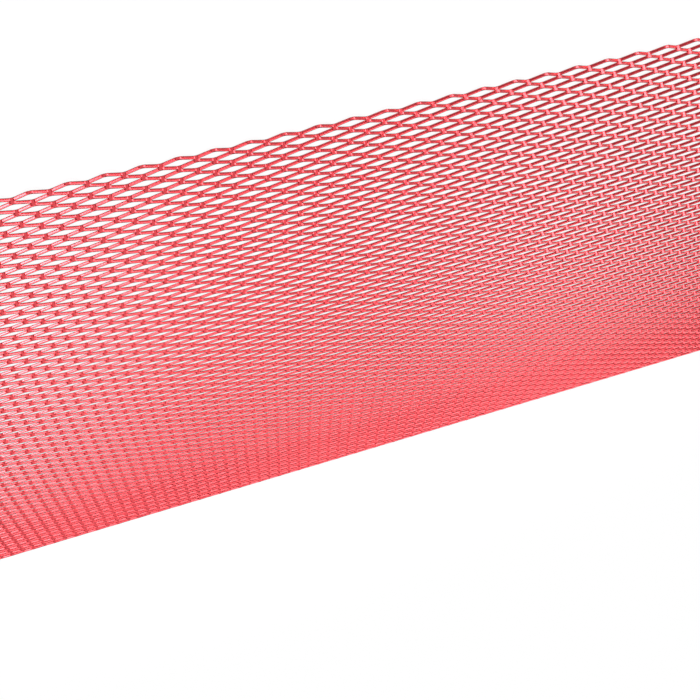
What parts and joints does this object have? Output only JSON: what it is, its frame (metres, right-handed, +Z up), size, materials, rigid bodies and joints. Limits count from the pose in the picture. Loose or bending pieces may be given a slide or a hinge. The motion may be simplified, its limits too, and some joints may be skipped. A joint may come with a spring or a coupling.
{
  "type": "car grille mesh sheet",
  "caption": "Flat sheet of red raised expanded aluminium mesh with diamond openings, for car grilles and bumper openings.",
  "frame": {"origin": "middle of the sheet, on the surface that it lies on", "axes": "+X along the sheet and the long way of the diamonds, +Y across it, +Z up through its thickness"},
  "size_m": [0.5, 0.3, 0.0025],
  "materials": {
    "mesh": "glossy red coat on aluminium"
  },
  "bodies": {
    "root": {"mesh_panel_1_1": "mesh", "mesh_panel_1_2": "mesh", "mesh_panel_1_3": "mesh", "mesh_panel_1_4": "mesh", "mesh_panel_2_1": "mesh", "mesh_panel_2_2": "mesh", "mesh_panel_2_3": "mesh", "mesh_panel_2_4": "mesh", "mesh_panel_3_1": "mesh", "mesh_panel_3_2": "mesh", "mesh_panel_3_3": "mesh", "mesh_panel_3_4": "mesh"}
  },
  "joints": []
}
